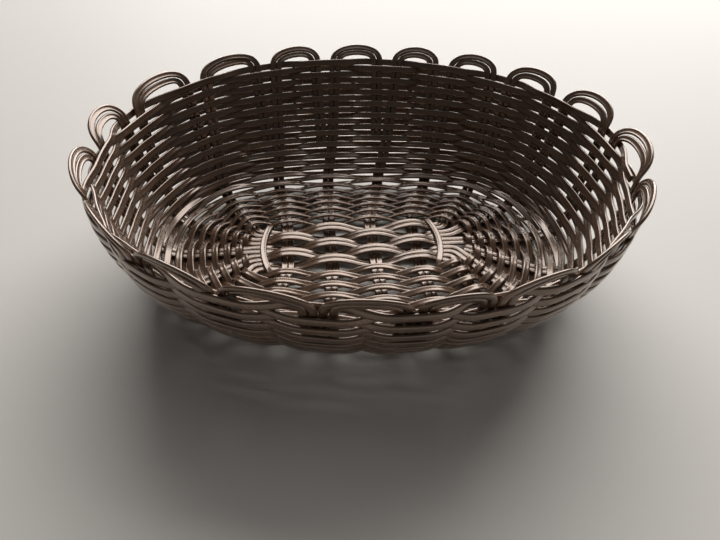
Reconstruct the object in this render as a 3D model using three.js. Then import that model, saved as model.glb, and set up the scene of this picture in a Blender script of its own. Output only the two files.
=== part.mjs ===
import * as THREE from 'three';

// An oval basket woven from flat, twin-ribbed plastic strands. Pairs of strands cross in the middle of
// the base, fan out, turn up as the stakes of the wall, arch over the rim as loops and go down again
// beside the next stake. One weaver spirals outwards over and under the stakes of the base, and another
// climbs the wall. Millimetres, Z up, the base stands on Z = 0, the long way of the oval is along X.

// Strand
const STRAND_WIDTH = 2.7;
const STRAND_THICKNESS = 1.5;
const STRAND_GAP = 0.3; // between two strands that lie side by side
const WEAVE_GAP = 0.3; // between a weaver and the strands it crosses
const FLAT_MARGIN = 0.35; // how far a weaver runs level past the strands it crosses

// Woven centre of the base
const ROW_COUNT = 5; // pairs that run the long way
const ROW_PITCH = 6.6;
const CROSS_COUNT = 4; // pairs that run the short way
const CROSS_PITCH = 22.5;
const CROSS_EXIT_MARGIN = 0.6; // from the outer row to where a cross pair starts to splay
const BINDER_REACH = 46.5; // from the middle of the woven centre to each binder
const ROW_EXIT_PAST_BINDER = 3.6; // and from there to where the outer rows start to splay
const LEFT_EXIT_STEP = 2.1; // each row nearer the middle runs on so much further
const RIGHT_EXIT_STEP = 3.6;
const CENTRE_SHIFT_X = -5.5; // the woven centre lies a little off the middle of the oval
const CENTRE_SHIFT_Y = 4;
const CENTRE_TURN = THREE.MathUtils.degToRad(5);

// The pair added in the right fan, which makes the number of stakes odd
const ADDED_START_PAST_BINDER = 13.1;
const ADDED_START_BELOW_ROW = 5.7; // from the middle row, towards the next one in front

// Ring of the weaver next to the woven centre, at the edge of the base, and at the rim
const FIRST_RING_PAST_BINDER = 10.5; // from the binders to the ring's ends
const FIRST_RING_PAST_ROWS = 5; // from the outer rows to its sides
const FIRST_RING_POWER = 6; // 2 is an ellipse, more is nearer a rectangle
const FIRST_RING_SHIFT_X = -3;
const FIRST_RING_SHIFT_Y = 3.5;
// Where the stakes start to turn up. The flat part of the base lies nearer the back than the rim does
const EDGE_RING = { halfLength: 91, halfWidth: 54.5, power: 2.4, shiftX: 0, shiftY: 4, turn: 0 };
const RIM_RING = { halfLength: 119.6, halfWidth: 102.4, power: 2.12 };
const BASE_TURNS = 13;
const WALL_TURNS = 21;
const WALL_RISE = 60.75; // from the middle of the base to the middle of the top turn
const BEND_RADIUS = 18; // where the stakes turn up at the edge of the base
const BEND_STEPS = 4;
const WALL_RADIUS = 85; // the wall above that is rounded outwards like a bowl
const WALL_STEPS = 7;

// Loops at the rim
const RIM_LEAD = 13; // along the rim, from the middle of the back to the stake just right of it
// How far each stake stands from its even place at the rim, clockwise from that stake: woven by hand,
// they stand closer together at the front and back than at the ends
const RIM_OFFSETS = [1, -3, -6, -7, -4, 1.5, 5.5, 2.5, -1, -10, -15, -17, -17, -13, -8, -9, -1, 4, 2];
const LOOP_FOOT_TURNS = 0.5; // how far above the middle of the top turn a loop starts to curve
const OUTER_LOOP_RISE = 9.2; // of the outer strand's middle line, above that
const INNER_LOOP_RISE = 5;
// How far the loops lean out beyond the wall. Towards the front they stand up more and more
const LOOP_FLARE = THREE.MathUtils.degToRad(36);
const FRONT_STAND = 0.6; // share of that lean which the loops at the very front have lost
const LOOP_LEAN = 0.05; // how far a loop leans over as it rises, as a share of its width
const LOOP_STEPS = 7;
const LOOP_FLAT_MARGIN = 1.5; // extra level length of the top turn beside the loops
const SIDESTEP_START_TURN = 15; // turns between which a stake moves over for its neighbour's end
const SIDESTEP_END_TURN = 21;
const TUCK_FIRST_TURN = 20; // the lowest turn that passes a loop's end beside the next stake
const TUCK_END_TURN = 20.6; // how far down that end is pushed
const RIM_SPREAD = 2.6; // extra sideways step of the strands at the rim, away from the stake's middle

// Derived sizes
const PAIR_PITCH = STRAND_WIDTH + STRAND_GAP;
const PAIR_HALF_WIDTH = (PAIR_PITCH + STRAND_WIDTH) / 2;
const CENTRE_HALF_WIDTH = ((ROW_COUNT - 1) / 2) * ROW_PITCH + PAIR_HALF_WIDTH;
const FIRST_RING = {
  halfLength: BINDER_REACH + FIRST_RING_PAST_BINDER,
  halfWidth: CENTRE_HALF_WIDTH + FIRST_RING_PAST_ROWS,
  power: FIRST_RING_POWER,
  shiftX: FIRST_RING_SHIFT_X,
  shiftY: FIRST_RING_SHIFT_Y,
  turn: CENTRE_TURN,
};
const WEAVE_LIFT = STRAND_THICKNESS + WEAVE_GAP; // of a weaver's middle, from the stakes' middle
const MID_HEIGHT = WEAVE_LIFT + STRAND_THICKNESS / 2;
const OUTER_ROW = (ROW_COUNT - 1) / 2;
const OUTER_CROSS = (CROSS_COUNT - 1) / 2;
const RIM_TURN = BASE_TURNS + WALL_TURNS;
const LOOP_TURN = RIM_TURN + LOOP_FOOT_TURNS;
const UP = new THREE.Vector3(0, 0, 1);

const plastic = { color: 0x6b5647, roughness: 0.38, metalness: 0.15 };

function clamp(value, least, most) {
  return Math.min(most, Math.max(least, value));
}

// Turns a place in the woven centre's own directions into a place in the basket
function fromCentre(x, y) {
  const cos = Math.cos(CENTRE_TURN);
  const sin = Math.sin(CENTRE_TURN);
  return new THREE.Vector2(CENTRE_SHIFT_X + x * cos - y * sin, CENTRE_SHIFT_Y + x * sin + y * cos);
}

// Turns a direction in the woven centre into one in the basket, level with the table
function directionFromCentre(x, y) {
  const cos = Math.cos(CENTRE_TURN);
  const sin = Math.sin(CENTRE_TURN);
  return new THREE.Vector3(x * cos - y * sin, x * sin + y * cos, 0);
}

// Below 1 inside a ring of the base, 1 on it and above 1 outside
function ringValue(ring, point) {
  const dx = point.x - ring.shiftX;
  const dy = point.y - ring.shiftY;
  const x = dx * Math.cos(ring.turn) + dy * Math.sin(ring.turn);
  const y = -dx * Math.sin(ring.turn) + dy * Math.cos(ring.turn);
  return Math.abs(x / ring.halfLength) ** ring.power + Math.abs(y / ring.halfWidth) ** ring.power;
}

// The stakes' places around the rim, clockwise seen from above
function rimPlaces(count) {
  const samples = 1440;
  const outline = [];
  for (let i = 0; i <= samples; i += 1) {
    const angle = Math.PI / 2 - (2 * Math.PI * i) / samples;
    const cos = Math.cos(angle);
    const sin = Math.sin(angle);
    const x = RIM_RING.halfLength * Math.sign(cos) * Math.abs(cos) ** (2 / RIM_RING.power);
    const y = RIM_RING.halfWidth * Math.sign(sin) * Math.abs(sin) ** (2 / RIM_RING.power);
    outline.push(new THREE.Vector2(x, y));
  }
  const reach = [0];
  for (let i = 1; i <= samples; i += 1) {
    reach.push(reach[i - 1] + outline[i].distanceTo(outline[i - 1]));
  }
  const places = [];
  for (let i = 0; i < count; i += 1) {
    const along = (RIM_LEAD + RIM_OFFSETS[i] + (reach[samples] * i) / count) % reach[samples];
    const after = reach.findIndex((value) => value > along);
    const share = (along - reach[after - 1]) / (reach[after] - reach[after - 1]);
    places.push(outline[after - 1].clone().lerp(outline[after], share));
  }
  return places;
}

// One stake: a pair of strands from where it leaves the woven centre to the rim. Its place is asked for
// by the weaver's turn that crosses it there, counted outwards from 1.
class Stake {
  constructor(exit, rim) {
    this.exit = exit;
    this.outwards = rim.clone().sub(exit).normalize();
    this.across = new THREE.Vector3(this.outwards.y, -this.outwards.x, 0);
    this.firstReach = this.reachOfRing(FIRST_RING);
    this.edgeReach = this.reachOfRing(EDGE_RING);
    const run = rim.distanceTo(exit) - this.edgeReach;
    this.footSlope = Stake.footSlope(run);
    const restRun = run - BEND_RADIUS * Math.sin(this.footSlope);
    const restRise = WALL_RISE - BEND_RADIUS * (1 - Math.cos(this.footSlope));
    this.baseLength = this.edgeReach - this.firstReach;
    this.bendLength = BEND_RADIUS * this.footSlope;
    this.wallLength = 2 * WALL_RADIUS * (Math.atan2(restRise, restRun) - this.footSlope);
    this.wholeLength = this.baseLength + this.bendLength + this.wallLength;
  }

  // The angle at which the bend passes into the wall's arc, so that this reaches both the run and the rise
  static footSlope(run) {
    let low = 0;
    let high = Math.PI / 2;
    for (let i = 0; i < 60; i += 1) {
      const angle = (low + high) / 2;
      const restRun = run - BEND_RADIUS * Math.sin(angle);
      const restRise = WALL_RISE - BEND_RADIUS * (1 - Math.cos(angle));
      const turned = (restRun * restRun + restRise * restRise) / (2 * WALL_RADIUS);
      if (restRise * Math.cos(angle) - restRun * Math.sin(angle) > turned) {
        low = angle;
      } else {
        high = angle;
      }
    }
    return (low + high) / 2;
  }

  // Distance from the exit to where a ring of the base crosses
  reachOfRing(ring) {
    let low = 0;
    let high = EDGE_RING.halfLength * 2;
    for (let i = 0; i < 60; i += 1) {
      const reach = (low + high) / 2;
      const point = this.exit.clone().addScaledVector(this.outwards, reach);
      if (ringValue(ring, point) < 1) {
        low = reach;
      } else {
        high = reach;
      }
    }
    return (low + high) / 2;
  }

  // The turns at the ends and steps of the bend and of the wall above it
  curvedTurns() {
    const lengths = [this.baseLength];
    for (let i = 1; i <= BEND_STEPS; i += 1) {
      lengths.push(this.baseLength + (this.bendLength * i) / BEND_STEPS);
    }
    for (let i = 1; i < WALL_STEPS; i += 1) {
      lengths.push(this.baseLength + this.bendLength + (this.wallLength * i) / WALL_STEPS);
    }
    return lengths.map((length) => 1 + ((RIM_TURN - 1) * length) / this.wholeLength);
  }

  // Place, direction along the stake, direction across it (clockwise) and direction into the basket
  at(turn) {
    const length = (this.wholeLength * (turn - 1)) / (RIM_TURN - 1);
    const bend = clamp(length - this.baseLength, 0, this.bendLength) / BEND_RADIUS;
    const angle = bend + Math.max(0, length - this.baseLength - this.bendLength) / WALL_RADIUS;
    const flat = this.firstReach + Math.min(length, this.baseLength);
    const wallRun = WALL_RADIUS * (Math.sin(angle) - Math.sin(bend));
    const reach = flat + BEND_RADIUS * Math.sin(bend) + wallRun;
    const rise = BEND_RADIUS * (1 - Math.cos(bend)) + WALL_RADIUS * (Math.cos(bend) - Math.cos(angle));
    const level = this.exit.clone().addScaledVector(this.outwards, reach);
    const outwards = new THREE.Vector3(this.outwards.x, this.outwards.y, 0);
    return {
      place: new THREE.Vector3(level.x, level.y, MID_HEIGHT + rise),
      along: outwards.clone().multiplyScalar(Math.cos(angle)).addScaledVector(UP, Math.sin(angle)),
      across: this.across,
      inwards: UP.clone().multiplyScalar(Math.cos(angle)).addScaledVector(outwards, -Math.sin(angle)),
    };
  }
}

// How far the wall has risen between the last sidestep and the rim, from 0 to 1
function spreadShare(turn) {
  return clamp((turn - SIDESTEP_END_TURN) / (RIM_TURN - SIDESTEP_END_TURN), 0, 1);
}

// Sideways place of a stake's own strand. Side 1 is its clockwise strand and -1 the other.
function ownOffset(turn, side) {
  const sidestep = clamp((turn - SIDESTEP_START_TURN) / (SIDESTEP_END_TURN - SIDESTEP_START_TURN), 0, 1);
  return PAIR_PITCH * (sidestep + side / 2) + RIM_SPREAD * spreadShare(turn);
}

// Sideways place of a strand that comes down from the loop before, beside the stake's own pair
function tuckOffset(turn, side) {
  return -PAIR_PITCH * (1 + side / 2) - RIM_SPREAD * spreadShare(turn);
}

// The two sides of everything that a weaver crosses at a stake
function columnSides(turn) {
  const half = STRAND_WIDTH / 2 + FLAT_MARGIN;
  const atRim = turn > RIM_TURN - 1 ? LOOP_FLAT_MARGIN : 0;
  const first = turn > TUCK_FIRST_TURN ? tuckOffset(turn, 1) : ownOffset(turn, -1);
  return [first - half - atRim, ownOffset(turn, 1) + half + atRim];
}

// A section of a strand: its middle, half of its width and half of its thickness as directions
function section(middle, widthDirection, thicknessDirection) {
  return {
    middle,
    width: widthDirection.clone().multiplyScalar(STRAND_WIDTH / 2),
    thickness: thicknessDirection.clone().multiplyScalar(STRAND_THICKNESS / 2),
  };
}

// The same sections, passed the other way
function reversed(sections) {
  return sections
    .map(({ middle, width, thickness }) => ({ middle, width: width.clone().negate(), thickness }))
    .reverse();
}

// A closed flat strand through a list of sections
function strandGeometry(sections) {
  const corners = [];
  const faces = [];
  for (const { middle, width, thickness } of sections) {
    corners.push(middle.clone().sub(width).sub(thickness));
    corners.push(middle.clone().add(width).sub(thickness));
    corners.push(middle.clone().add(width).add(thickness));
    corners.push(middle.clone().sub(width).add(thickness));
  }
  for (let i = 0; i + 1 < sections.length; i += 1) {
    for (let side = 0; side < 4; side += 1) {
      const a = i * 4 + side;
      const b = i * 4 + ((side + 1) % 4);
      faces.push(a, b + 4, b);
      faces.push(a, a + 4, b + 4);
    }
  }
  const last = (sections.length - 1) * 4;
  faces.push(0, 1, 2, 0, 2, 3);
  faces.push(last, last + 2, last + 1, last, last + 3, last + 2);
  const geometry = new THREE.BufferGeometry();
  geometry.setAttribute('position', new THREE.Float32BufferAttribute(corners.flatMap((c) => c.toArray()), 3));
  geometry.setIndex(faces);
  geometry.computeVertexNormals();
  return geometry;
}

function strandMesh(name, sections) {
  const mesh = new THREE.Mesh(strandGeometry(sections), new THREE.MeshStandardMaterial(plastic));
  mesh.name = name;
  return mesh;
}

// A section of a stake's strand at a turn, moved sideways
function stakeSection(stake, turn, offset) {
  const frame = stake.at(turn);
  return section(frame.place.addScaledVector(frame.across, offset), frame.across, frame.inwards);
}

// The arch of one strand from a stake's rim to the next one's, without its two ends
function loopSections(stake, next, side) {
  const from = stake.at(LOOP_TURN);
  const to = next.at(LOOP_TURN);
  from.place.addScaledVector(from.across, ownOffset(LOOP_TURN, side));
  to.place.addScaledVector(to.across, tuckOffset(LOOP_TURN, side));
  const rise = side > 0 ? INNER_LOOP_RISE : OUTER_LOOP_RISE;
  const controlRise = rise / 0.75; // a cubic arch reaches three quarters of its controls' height
  const towardsFront = Math.max(0, -(stake.outwards.y + next.outwards.y) / 2);
  const flare = LOOP_FLARE * (1 - FRONT_STAND * towardsFront);
  const arch = new THREE.CubicBezierCurve(
    new THREE.Vector2(0, 0),
    new THREE.Vector2(LOOP_LEAN, controlRise),
    new THREE.Vector2(1, controlRise),
    new THREE.Vector2(1, 0),
  );
  const frameAt = (t) => {
    const point = arch.getPoint(t);
    const wallUp = from.along.clone().lerp(to.along, point.x).normalize();
    const wallIn = from.inwards.clone().lerp(to.inwards, point.x).normalize();
    const upwards = wallUp.clone().multiplyScalar(Math.cos(flare)).addScaledVector(wallIn, -Math.sin(flare));
    const inwards = wallIn.multiplyScalar(Math.cos(flare)).addScaledVector(wallUp, Math.sin(flare));
    return { place: from.place.clone().lerp(to.place, point.x).addScaledVector(upwards, point.y), inwards };
  };
  const sections = [];
  const step = 0.5 / LOOP_STEPS;
  for (let i = 1; i < LOOP_STEPS; i += 1) {
    const t = i / LOOP_STEPS;
    const { place, inwards } = frameAt(t);
    const direction = frameAt(t + step).place.sub(frameAt(t - step).place).normalize();
    inwards.addScaledVector(direction, -inwards.dot(direction)).normalize();
    sections.push(section(place, direction.clone().cross(inwards), inwards));
  }
  return sections;
}

// One strand from the edge of the base up the wall, over the rim and down beside the next stake
function wallSections(stake, next, side) {
  const turns = [...stake.curvedTurns(), SIDESTEP_END_TURN, LOOP_TURN].sort((a, b) => a - b);
  const rising = turns.map((turn) => stakeSection(stake, turn, ownOffset(turn, side)));
  const endTurns = [TUCK_END_TURN, ...next.curvedTurns().filter((turn) => turn > TUCK_END_TURN), LOOP_TURN];
  const ending = endTurns.map((turn) => stakeSection(next, turn, tuckOffset(turn, side)));
  return [...rising, ...loopSections(stake, next, side), ...reversed(ending)];
}

// The section where a strand turns in the plane of the base, from one direction to another
function kinkSection(place, acrossBefore, acrossAfter, offset) {
  const across = acrossBefore.clone().add(acrossAfter).normalize();
  across.divideScalar(across.dot(acrossAfter));
  const middle = new THREE.Vector3(place.x, place.y, MID_HEIGHT).addScaledVector(across, offset);
  return section(middle, across, UP);
}

// A strand of a row, woven over and under the cross pairs. Level 0 is the middle of the base.
function rowSections(row, offset) {
  const across = directionFromCentre(0, -1);
  const y = row * ROW_PITCH - offset;
  const sectionAt = (x, level) => {
    const place = fromCentre(x, y);
    return section(new THREE.Vector3(place.x, place.y, MID_HEIGHT + level), across, UP);
  };
  const clearOfBinder = BINDER_REACH - STRAND_WIDTH / 2 - FLAT_MARGIN;
  const flat = PAIR_HALF_WIDTH + FLAT_MARGIN;
  const sections = [sectionAt(-clearOfBinder, 0)];
  for (let cross = 0; cross < CROSS_COUNT; cross += 1) {
    const x = (cross - OUTER_CROSS) * CROSS_PITCH;
    const level = (row + OUTER_ROW + cross) % 2 === 1 ? WEAVE_LIFT : -WEAVE_LIFT;
    sections.push(sectionAt(x - flat, level), sectionAt(x + flat, level));
  }
  sections.push(sectionAt(clearOfBinder, 0));
  return sections;
}

// Stakes in clockwise order seen from above, from the right fan's first row in front of the middle one
function makeStakes() {
  const rowExit = (row, end) => {
    const step = end > 0 ? RIGHT_EXIT_STEP : LEFT_EXIT_STEP;
    const reach = BINDER_REACH + ROW_EXIT_PAST_BINDER + step * (OUTER_ROW - Math.abs(row));
    return fromCentre(end * reach, row * ROW_PITCH);
  };
  const crossReach = CENTRE_HALF_WIDTH + CROSS_EXIT_MARGIN;
  const crossExit = (cross, end) => fromCentre((cross - OUTER_CROSS) * CROSS_PITCH, end * crossReach);
  const order = [];
  for (let row = -1; row >= -OUTER_ROW; row -= 1) {
    order.push({ key: `right${row}`, exit: rowExit(row, 1) });
  }
  for (let cross = CROSS_COUNT - 1; cross >= 0; cross -= 1) {
    order.push({ key: `front${cross}`, exit: crossExit(cross, -1) });
  }
  for (let row = -OUTER_ROW; row <= OUTER_ROW; row += 1) {
    order.push({ key: `left${row}`, exit: rowExit(row, -1) });
  }
  for (let cross = 0; cross < CROSS_COUNT; cross += 1) {
    order.push({ key: `back${cross}`, exit: crossExit(cross, 1) });
  }
  for (let row = OUTER_ROW; row >= 0; row -= 1) {
    order.push({ key: `right${row}`, exit: rowExit(row, 1) });
  }
  const addedReach = BINDER_REACH + ADDED_START_PAST_BINDER;
  order.push({ key: 'added', exit: fromCentre(addedReach, -ADDED_START_BELOW_ROW) });

  const places = rimPlaces(order.length);
  const firstPlace = order.length - order.findIndex(({ key }) => key === `back${CROSS_COUNT / 2}`);
  const stakes = order.map(({ exit }, i) => new Stake(exit, places[(firstPlace + i) % places.length]));
  return new Map(order.map(({ key }, i) => [key, { stake: stakes[i], next: stakes[(i + 1) % stakes.length] }]));
}

// Both halves of a pair's strand, joined across the woven centre
function throughStrand(name, before, after, acrossCentre, offset, middleSections) {
  const side = Math.sign(offset);
  const kink = ({ stake }, sign) =>
    kinkSection(stake.exit, acrossCentre, stake.across.clone().multiplyScalar(sign), offset);
  return strandMesh(name, [
    ...reversed(wallSections(before.stake, before.next, -side)),
    kink(before, -1),
    ...middleSections,
    kink(after, 1),
    ...wallSections(after.stake, after.next, side),
  ]);
}

function rowStrand(stakes, row, side) {
  const name = `length_strand_${row + OUTER_ROW + 1}_${side > 0 ? 'front' : 'back'}`;
  const offset = (side * PAIR_PITCH) / 2;
  const across = directionFromCentre(0, -1);
  const left = stakes.get(`left${row}`);
  const right = stakes.get(`right${row}`);
  return throughStrand(name, left, right, across, offset, rowSections(row, offset));
}

function crossStrand(stakes, cross, side) {
  const name = `cross_strand_${cross + 1}_${side > 0 ? 'right' : 'left'}`;
  const offset = (side * PAIR_PITCH) / 2;
  const across = directionFromCentre(1, 0);
  return throughStrand(name, stakes.get(`front${cross}`), stakes.get(`back${cross}`), across, offset, []);
}

function addedStrand(stakes, side) {
  const { stake, next } = stakes.get('added');
  const offset = (side * PAIR_PITCH) / 2;
  const start = kinkSection(stake.exit, stake.across, stake.across, offset);
  const name = `added_strand_${side > 0 ? 'front' : 'back'}`;
  return strandMesh(name, [start, ...wallSections(stake, next, side)]);
}

// A strand wrapped over the rows at one end of the woven centre, with both ends turned in below
function binder(name, end) {
  const legY = CENTRE_HALF_WIDTH + WEAVE_GAP + STRAND_THICKNESS / 2;
  const width = directionFromCentre(1, 0);
  const corner = (y, level, outY, outZ) => {
    const place = fromCentre(end * BINDER_REACH, y);
    const thickness = directionFromCentre(0, outY).addScaledVector(UP, outZ);
    return section(new THREE.Vector3(place.x, place.y, MID_HEIGHT + level), width, thickness);
  };
  const tipY = OUTER_ROW * ROW_PITCH;
  const sections = [
    corner(-tipY, -WEAVE_LIFT, 0, -1),
    corner(-legY, -WEAVE_LIFT, -1, -1),
    corner(-legY, WEAVE_LIFT, -1, 1),
    corner(legY, WEAVE_LIFT, 1, 1),
    corner(legY, -WEAVE_LIFT, 1, -1),
    corner(tipY, -WEAVE_LIFT, 0, -1),
  ];
  return strandMesh(name, sections);
}

// A weaver that passes the stakes in order, over one and under the next, for a number of turns. Each
// turn lies one pitch further out, and the top turn is level all round.
function weaver(name, stakes, firstTurn, turnCount) {
  const list = [...stakes.values()].map(({ stake }) => stake);
  const sections = [];
  for (let turn = firstTurn; turn < firstTurn + turnCount; turn += 1) {
    for (let i = 0; i < list.length; i += 1) {
      const lead = i / list.length;
      const reached = 1 + lead + ((turn - 1) * (RIM_TURN - 1 - lead)) / (RIM_TURN - 1);
      const level = ((turn - 1) * list.length + i) % 2 === 1 ? WEAVE_LIFT : -WEAVE_LIFT;
      const frame = list[i].at(reached);
      for (const offset of columnSides(reached)) {
        const middle = frame.place.clone().addScaledVector(frame.across, offset);
        middle.addScaledVector(frame.inwards, level);
        sections.push(section(middle, frame.along.clone().negate(), frame.inwards));
      }
    }
  }
  return strandMesh(name, sections);
}

const basket = new THREE.Group();
basket.name = 'woven_basket';
const stakes = makeStakes();
for (let row = -OUTER_ROW; row <= OUTER_ROW; row += 1) {
  basket.add(rowStrand(stakes, row, 1), rowStrand(stakes, row, -1));
}
for (let cross = 0; cross < CROSS_COUNT; cross += 1) {
  basket.add(crossStrand(stakes, cross, 1), crossStrand(stakes, cross, -1));
}
basket.add(addedStrand(stakes, 1), addedStrand(stakes, -1));
basket.add(binder('binder_left', -1), binder('binder_right', 1));
basket.add(weaver('base_weaver', stakes, 1, BASE_TURNS));
basket.add(weaver('wall_weaver', stakes, BASE_TURNS + 1, WALL_TURNS));

// The middle of the whole outline, loops included, stands on the origin
const box = new THREE.Box3().setFromObject(basket);
const middle = box.getCenter(new THREE.Vector3());
basket.position.set(-middle.x, -middle.y, -box.min.z);

export default basket;
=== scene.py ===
"""Looks of the woven oval basket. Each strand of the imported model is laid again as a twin-ribbed plastic
strip on a smooth path, and dressed. Sizes are in millimetres, as in the part's source, until a strip is
baked, and then in metres."""

import logging
import math
from collections.abc import Callable, Iterator, Sequence
from dataclasses import dataclass, field
from enum import IntEnum
from functools import cache

import bpy
import numpy as np
from mathutils import Matrix, Vector


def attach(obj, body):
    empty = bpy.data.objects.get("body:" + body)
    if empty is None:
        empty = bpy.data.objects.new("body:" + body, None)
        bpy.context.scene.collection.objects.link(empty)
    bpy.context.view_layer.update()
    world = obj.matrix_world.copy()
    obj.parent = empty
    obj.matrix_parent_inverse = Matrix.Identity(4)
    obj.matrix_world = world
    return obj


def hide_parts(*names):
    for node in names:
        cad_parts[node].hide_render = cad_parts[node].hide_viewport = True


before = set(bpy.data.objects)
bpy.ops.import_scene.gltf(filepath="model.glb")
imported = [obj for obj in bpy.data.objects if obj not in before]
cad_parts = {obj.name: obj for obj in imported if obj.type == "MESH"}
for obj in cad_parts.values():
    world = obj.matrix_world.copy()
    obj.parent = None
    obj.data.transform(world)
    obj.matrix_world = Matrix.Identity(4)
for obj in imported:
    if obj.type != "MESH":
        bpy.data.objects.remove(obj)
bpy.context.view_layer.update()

log = logging.getLogger("basket")

Value = float | np.ndarray
Operand = float | bpy.types.NodeSocket

METRES = 0.001
BODY = "root"
PHOTO_WIDTH = 720
SENSOR_WIDTH = 36.0
HALVINGS = 60
UP = np.array([0.0, 0.0, 1.0])


def unit(vector: np.ndarray) -> np.ndarray:
    """Returns the vector, or each row of an array of them, at length 1."""
    return vector / np.linalg.norm(vector, axis=-1, keepdims=True)


def mix(a: Value, b: Value, share: float) -> Value:
    """Returns a mixture of a and b: a where share is 0 and b where it is 1."""
    return a + (b - a) * share


def clamp01(value: float) -> float:
    """Returns the value, held between 0 and 1."""
    return min(1.0, max(0.0, value))


def ramp(value: float, start: float, end: float) -> float:
    """Returns 0 up to start, 1 from end on, and the share of the way between them."""
    return clamp01((value - start) / (end - start))


def ease(share: float) -> float:
    """Returns the share with a level start and end, as a clamped strip bends."""
    return share * share * (3.0 - 2.0 * share)


def bisect(low: float, high: float, too_low: Callable[[float], bool]) -> float:
    """Halves a range again and again, to find where a test turns.

    Args:
        low: a value for which the test holds.
        high: a value for which it doesn't.
        too_low: the test.

    Returns:
        The value between them at which it turns false.
    """
    for _ in range(HALVINGS):
        middle = (low + high) / 2
        low, high = (middle, high) if too_low(middle) else (low, middle)
    return (low + high) / 2


class Side(IntEnum):
    """Which strand of a pair is meant, seen along the pair: the clockwise one or the other."""

    CLOCKWISE = 1
    COUNTER = -1


@dataclass(frozen=True)
class Ring:
    """An oval of the weave: half sizes, 2 for an ellipse or more for a squarer shape, middle and turn."""

    half_length: float
    half_width: float
    power: float
    shift: tuple[float, float] = (0.0, 0.0)
    turn: float = 0.0

    def value(self, point: np.ndarray) -> float:
        """Tells on which side of the ring a place lies.

        Args:
            point: the place, of which the first two values count.

        Returns:
            Less than 1 inside the ring, 1 on it and more outside.
        """
        dx, dy = point[0] - self.shift[0], point[1] - self.shift[1]
        x = dx * math.cos(self.turn) + dy * math.sin(self.turn)
        y = -dx * math.sin(self.turn) + dy * math.cos(self.turn)
        return abs(x / self.half_length) ** self.power + abs(y / self.half_width) ** self.power


@dataclass(frozen=True)
class Knot:
    """A place that a strand passes, with the directions of its side and of the face that shows inside."""

    place: np.ndarray
    side: np.ndarray
    facing: np.ndarray

    def flipped(self) -> "Knot":
        """Returns the same knot, passed the other way."""
        return Knot(self.place, -self.side, self.facing)


Course = tuple[str, int, list[Knot]]  # a strand's node, a number of its own for its seed, and its knots


@dataclass(frozen=True)
class Station:
    """A place on a stake, with the directions along it, across it and into the basket."""

    place: np.ndarray
    along: np.ndarray
    across: np.ndarray
    inwards: np.ndarray

    def knot(self, offset: float) -> Knot:
        """Returns the knot of a strand that lies sideways of the stake's middle by the offset."""
        return Knot(self.place + self.across * offset, self.across, self.inwards)


@dataclass(frozen=True)
class WeaveSizes:
    """The sizes that place the strands: those of the part's source, apart from what is named here.

    The strip has its full width here, so the strands of a pair lie closer together, and the first ring
    lies nearer the rows. The dome, the rows' crown, the side walls' radius and rounding are only here.
    """

    strand_width: float = 3.3
    strand_thickness: float = 1.5
    strand_gap: float = 0.02
    weave_gap: float = 0.3
    flat_margin: float = 0.35
    dome: float = 2.0
    row_crown: float = 1.7
    row_count: int = 5
    row_pitch: float = 6.6
    cross_count: int = 4
    cross_pitch: float = 22.5
    cross_exit_margin: float = 0.6
    binder_reach: float = 46.5
    row_exit_past_binder: float = 3.6
    left_exit_step: float = 2.1
    right_exit_step: float = 3.6
    centre_shift: tuple[float, float] = (-5.5, 4.0)
    first_ring_shift: tuple[float, float] = (-3.0, 3.5)
    centring: tuple[float, float, float] = (0.060, -1.196, 0.165)
    centre_turn: float = math.radians(5)
    added_start_past_binder: float = 13.1
    added_start_below_row: float = 5.7
    first_ring_past_binder: float = 10.5
    first_ring_past_rows: float = 2.9
    first_ring_power: float = 6.0
    edge_ring: Ring = Ring(91.0, 54.5, 2.4, (0.0, 4.0))
    rim_ring: Ring = Ring(119.6, 102.4, 2.12)
    base_turns: int = 13
    flat_turn: float = 3.0  # lies on the flat part of the base at every stake
    wall_turns: int = 21
    wall_rise: float = 60.75
    bend_radius: float = 18.0
    side_radius: float = 135.0
    front_radius: float = 85.0
    corner_rounding: float = 1.6  # how soon the walls take the front's radius, from the sides on
    rim_lead: float = 13.0
    rim_offsets: tuple[float, ...] = (
        1, -3, -6, -7, -4, 1.5, 5.5, 2.5, -1, -10, -15, -17, -17, -13, -8, -9, -1, 4, 2,
    )
    rim_samples: int = 1441
    loop_foot_turns: float = 0.5
    sidestep_start_turn: float = 15.0
    sidestep_end_turn: float = 21.0
    tuck_end_turn: float = 20.6
    rim_spread: float = 2.6

    @property
    def pair_pitch(self) -> float:
        """Returns the distance between the middles of the two strands of a pair."""
        return self.strand_width + self.strand_gap

    @property
    def pair_half_width(self) -> float:
        """Returns half of the width of a pair."""
        return (self.pair_pitch + self.strand_width) / 2

    @property
    def centre_half_width(self) -> float:
        """Returns half of the width of the woven centre."""
        return self.outer_row * self.row_pitch + self.pair_half_width

    @property
    def outer_row(self) -> int:
        """Returns the number of the last row, counted from the middle one."""
        return (self.row_count - 1) // 2

    @property
    def outer_cross(self) -> float:
        """Returns the number of the last cross pair, counted from the middle."""
        return (self.cross_count - 1) / 2

    @property
    def first_ring(self) -> Ring:
        """Returns the ring of the weaver's first turn."""
        length = self.binder_reach + self.first_ring_past_binder
        width = self.centre_half_width + self.first_ring_past_rows
        return Ring(length, width, self.first_ring_power, self.first_ring_shift, self.centre_turn)

    @property
    def weave_lift(self) -> float:
        """Returns how far a weaver's middle lies from the middle of the stakes it crosses."""
        return self.strand_thickness + self.weave_gap

    @property
    def mid_height(self) -> float:
        """Returns the height of the stakes' middle above the table."""
        return self.weave_lift + self.strand_thickness / 2

    @property
    def rim_turn(self) -> int:
        """Returns the number of the top turn."""
        return self.base_turns + self.wall_turns

    @property
    def loop_turn(self) -> float:
        """Returns the turn at which the loops start to curve."""
        return self.rim_turn + self.loop_foot_turns


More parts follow.
